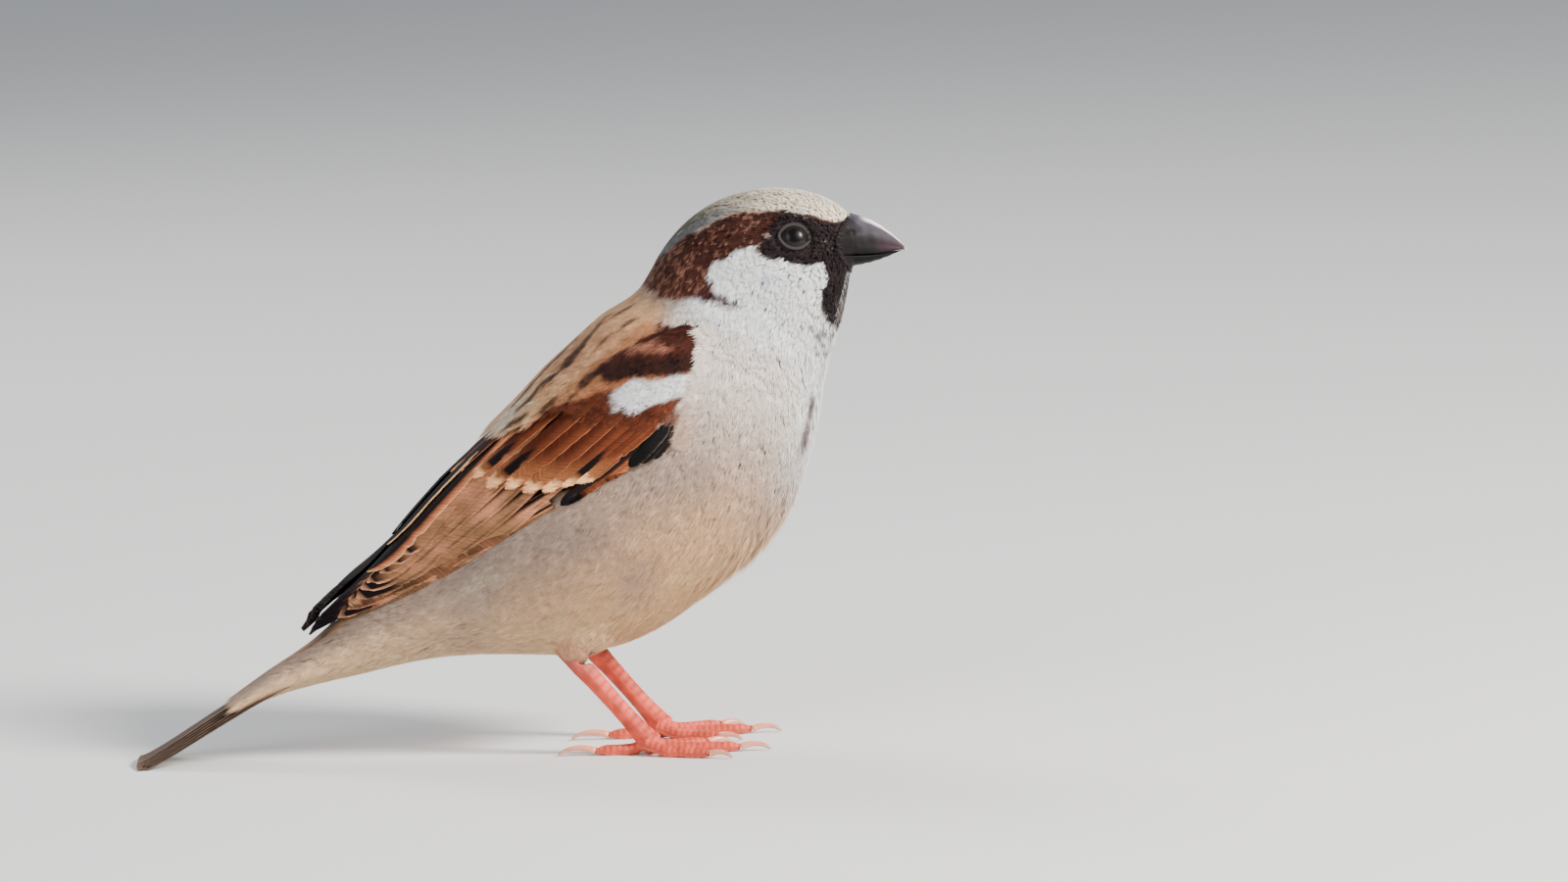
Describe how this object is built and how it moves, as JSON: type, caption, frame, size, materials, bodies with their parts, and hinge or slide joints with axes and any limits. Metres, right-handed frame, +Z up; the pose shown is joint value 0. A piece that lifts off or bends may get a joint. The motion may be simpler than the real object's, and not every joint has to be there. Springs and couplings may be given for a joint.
{
  "type": "house sparrow figure",
  "caption": "Life-size still model of an adult male house sparrow, standing alert on both feet with folded wings and its tail tip lowered to the floor.",
  "frame": {"origin": "on the floor, at the middle of the model's bounding box", "axes": "+X forwards along the bird, towards its bill; +Z up; the bird's left side is +Y"},
  "size_m": [0.126, 0.043, 0.0888],
  "materials": {
    "head_feathers": "short, soft overlapping feathers, grey crown with black mask, chestnut sides and white cheeks",
    "body_feathers": "soft loose feathers, off-white breast and buff belly with a streaked tan back",
    "wing_coverts": "overlapping chestnut and rufous coverts with pale edges and a white bar",
    "flight_feathers": "smooth stiff feathers with dark centres and buff edges",
    "tail_feathers": "smooth stiff brown feathers with paler edges",
    "bill_horn": "satin slate-black horn",
    "eye": "wet, very dark brown",
    "leg_skin": "scaly salmon-pink skin",
    "claw_horn": "pale translucent horn"
  },
  "bodies": {
    "root": {"head": "head_feathers", "neck": "body_feathers", "trunk": "body_feathers", "tail": "tail_feathers", "thigh_right": "body_feathers", "thigh_left": "body_feathers", "wing_right": "wing_coverts", "wing_left": "wing_coverts", "flight_right": "flight_feathers", "flight_left": "flight_feathers", "bill_upper": "bill_horn", "bill_lower": "bill_horn", "eye_right": "eye", "eye_left": "eye", "tarsus_right": "leg_skin", "tarsus_left": "leg_skin", "toe_middle_right": "leg_skin", "toe_inner_right": "leg_skin", "toe_outer_right": "leg_skin", "toe_hind_right": "leg_skin", "toe_middle_left": "leg_skin", "toe_inner_left": "leg_skin", "toe_outer_left": "leg_skin", "toe_hind_left": "leg_skin", "claw_middle_right": "claw_horn", "claw_inner_right": "claw_horn", "claw_outer_right": "claw_horn", "claw_hind_right": "claw_horn", "claw_middle_left": "claw_horn", "claw_inner_left": "claw_horn", "claw_outer_left": "claw_horn", "claw_hind_left": "claw_horn"}
  },
  "joints": []
}
